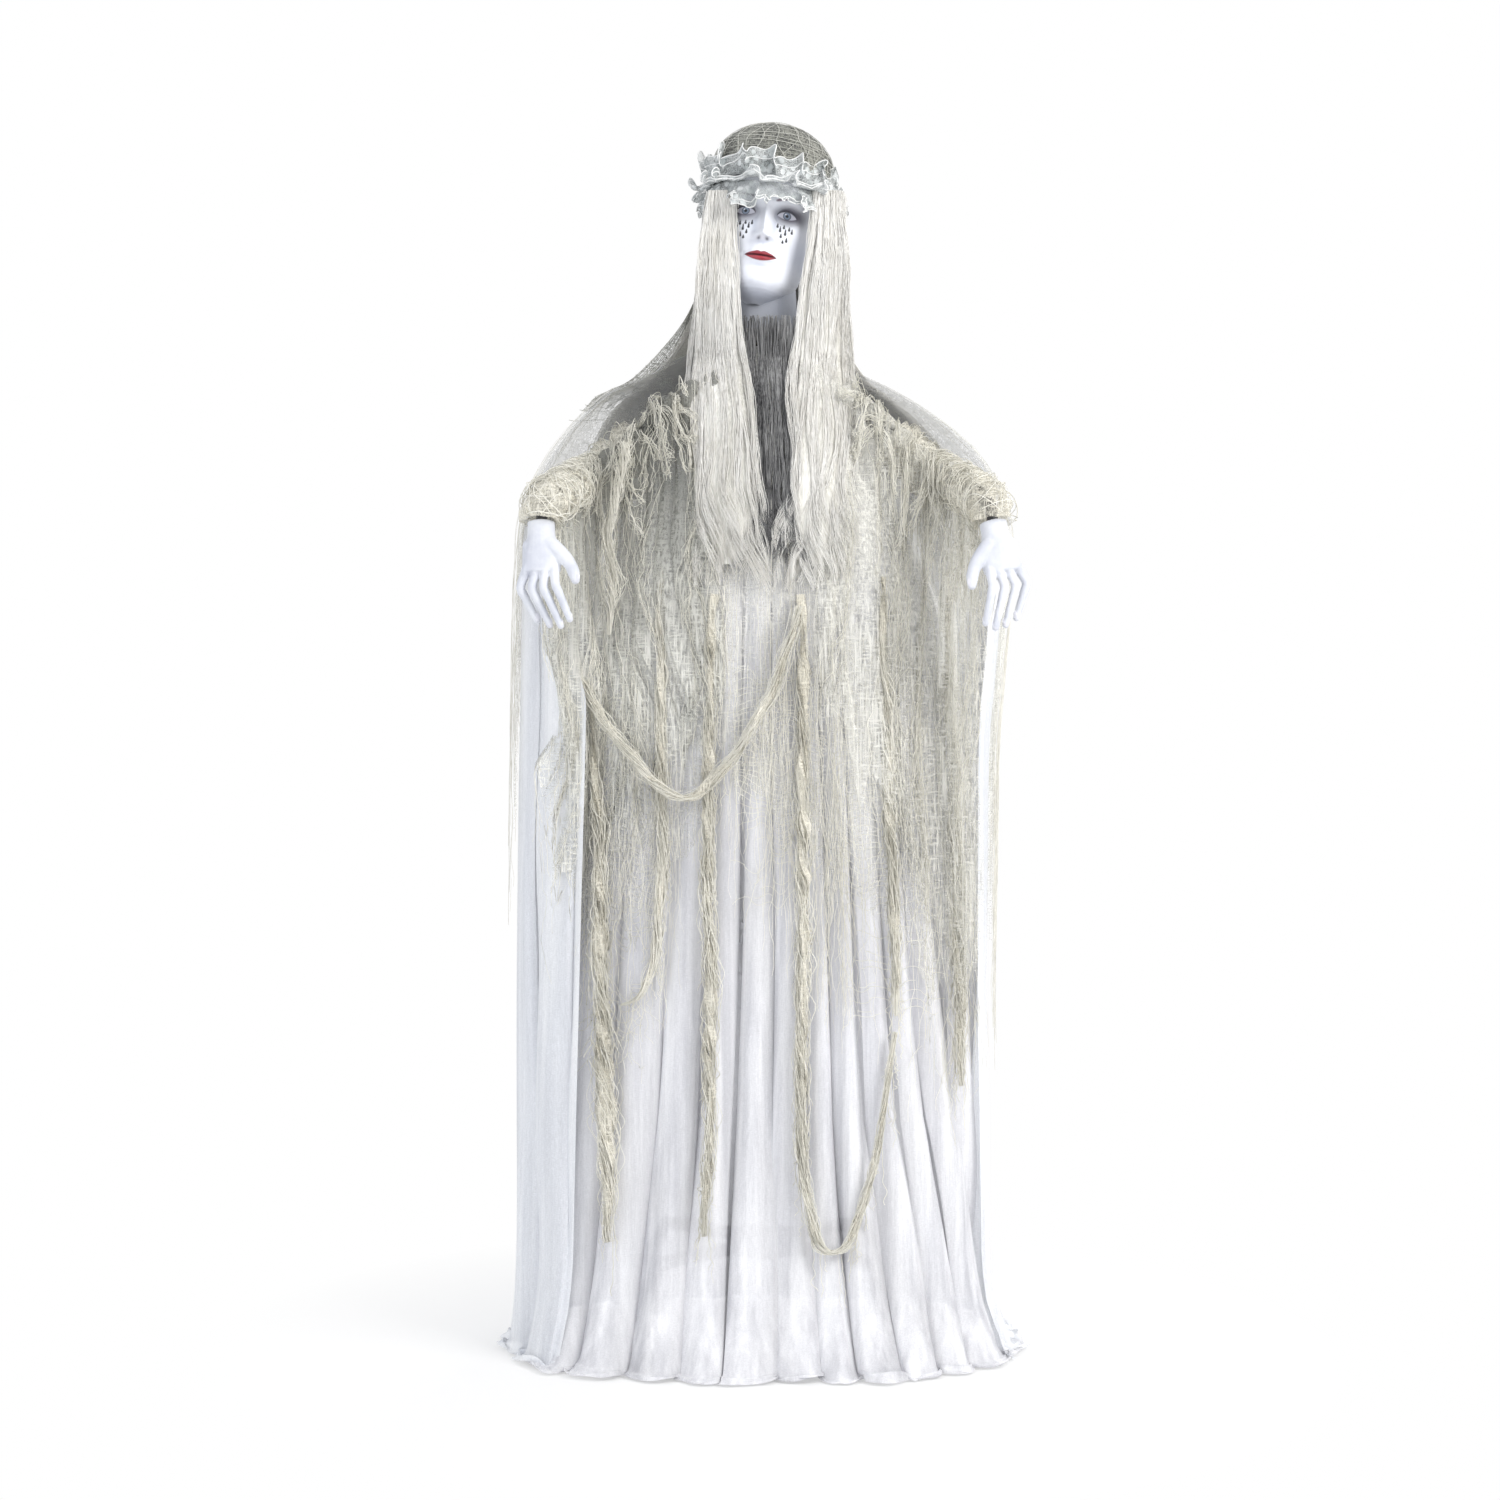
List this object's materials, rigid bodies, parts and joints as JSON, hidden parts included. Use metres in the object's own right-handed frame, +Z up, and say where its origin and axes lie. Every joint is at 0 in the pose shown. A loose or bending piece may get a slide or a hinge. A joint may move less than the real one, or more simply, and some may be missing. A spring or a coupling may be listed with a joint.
{
  "type": "halloween bride figure",
  "caption": "Standing life-size ghost bride: long-haired moulded head and hands, poseable arms on a steel pole stand, sheer white robe and cape under cream gauze drapes.",
  "frame": {"origin": "on the floor at the stand's pole, the centre of the figure's base", "axes": "+Z up; the face looks along -Y; +X is the figure's own left"},
  "size_m": [0.7578, 0.5396, 1.8295],
  "materials": {
    "black_steel": "satin black powder coat",
    "zinc": "zinc plated",
    "foot_rubber": "matte",
    "moulded_plastic": "fine texture",
    "bust_plastic": "blow-moulded, matte",
    "face_paint": "painted vinyl",
    "hand_plastic": "painted vinyl",
    "foam": "soft foam",
    "gauze": "loose open weave",
    "voile": "sheer fine weave",
    "lace": "gathered lace",
    "netting": "open net",
    "wig_hair": "synthetic hair"
  },
  "bodies": {
    "stand_and_robe": {"leg_front_right": "black_steel", "leg_front_left": "black_steel", "leg_rear_right": "black_steel", "leg_rear_left": "black_steel", "lower_pole": "black_steel", "middle_pole": "black_steel", "upper_pole": "black_steel", "shoulder_bar": "black_steel", "foot_front_right": "foot_rubber", "foot_front_left": "foot_rubber", "foot_rear_right": "foot_rubber", "foot_rear_left": "foot_rubber", "base_hub": "moulded_plastic", "clamp_screw": "moulded_plastic", "neck_bush": "moulded_plastic", "lower_button_spring": "zinc", "upper_button_spring": "zinc", "bust_screw_right": "zinc", "bust_screw_left": "zinc", "shoulder_bolt_right": "zinc", "shoulder_bolt_left": "zinc", "wing_nut_right": "zinc", "wing_nut_left": "zinc", "bust_front": "bust_plastic", "bust_back": "bust_plastic", "collar_band": "gauze", "gauze_front": "gauze", "gauze_right": "gauze", "gauze_left": "gauze", "gauze_back": "gauze", "streamer_far_right": "gauze", "streamer_right": "gauze", "streamer_middle": "gauze", "streamer_left": "gauze", "streamer_far_left": "gauze", "streamer_crossing": "gauze", "gauze_swag": "gauze", "gown_front": "voile", "cape_right": "voile", "cape_left": "voile", "cape_back": "voile"},
    "head": {"head_shell": "face_paint", "wig_crown": "wig_hair", "net_cap": "netting", "lace_band": "lace", "hair_front_right": "wig_hair", "hair_front_left": "wig_hair", "hair_back": "wig_hair", "veil": "netting"},
    "arm_right": {"arm_tube_right": "black_steel", "arm_foam_right": "foam", "gauze_sleeve_right": "gauze"},
    "hand_right": {"hand_right": "hand_plastic"},
    "arm_left": {"arm_tube_left": "black_steel", "arm_foam_left": "foam", "gauze_sleeve_left": "gauze"},
    "hand_left": {"hand_left": "hand_plastic"},
    "lower_button": {"lower_button": "zinc"},
    "upper_button": {"upper_button": "zinc"}
  },
  "joints": [
    {"name": "head_turn", "type": "hinge", "parent": "stand_and_robe", "child": "head", "pos_m": [0, 0, 1.5], "axis": [0, 0, 1], "range_deg": [-45, 45], "deforming": ["hair_front_right", "hair_front_left", "hair_back", "veil"]},
    {"name": "shoulder_right", "type": "hinge", "parent": "stand_and_robe", "child": "arm_right", "pos_m": [-0.165, 0, 1.385], "axis": [0, 1, 0], "range_deg": [-15, 30], "deforming": ["cape_right", "gauze_right", "gauze_swag"]},
    {"name": "wrist_right", "type": "hinge", "parent": "arm_right", "child": "hand_right", "pos_m": [-0.318, -0.238, 1.21], "axis": [-0.0697, -0.209, -0.9754], "range_deg": [-45, 45]},
    {"name": "shoulder_left", "type": "hinge", "parent": "stand_and_robe", "child": "arm_left", "pos_m": [0.165, 0, 1.385], "axis": [0, -1, 0], "range_deg": [-15, 30], "deforming": ["cape_left", "gauze_left"]},
    {"name": "wrist_left", "type": "hinge", "parent": "arm_left", "child": "hand_left", "pos_m": [0.318, -0.238, 1.21], "axis": [0.0697, -0.209, -0.9754], "range_deg": [-45, 45]},
    {"name": "lower_button_press", "type": "slide", "parent": "stand_and_robe", "child": "lower_button", "axis": [0, 1, 0], "range_m": [0, 0.005], "stiffness_N_per_m": 400, "deforming": ["lower_button_spring"]},
    {"name": "upper_button_press", "type": "slide", "parent": "stand_and_robe", "child": "upper_button", "axis": [0, 1, 0], "range_m": [0, 0.005], "stiffness_N_per_m": 400, "deforming": ["upper_button_spring"]}
  ]
}
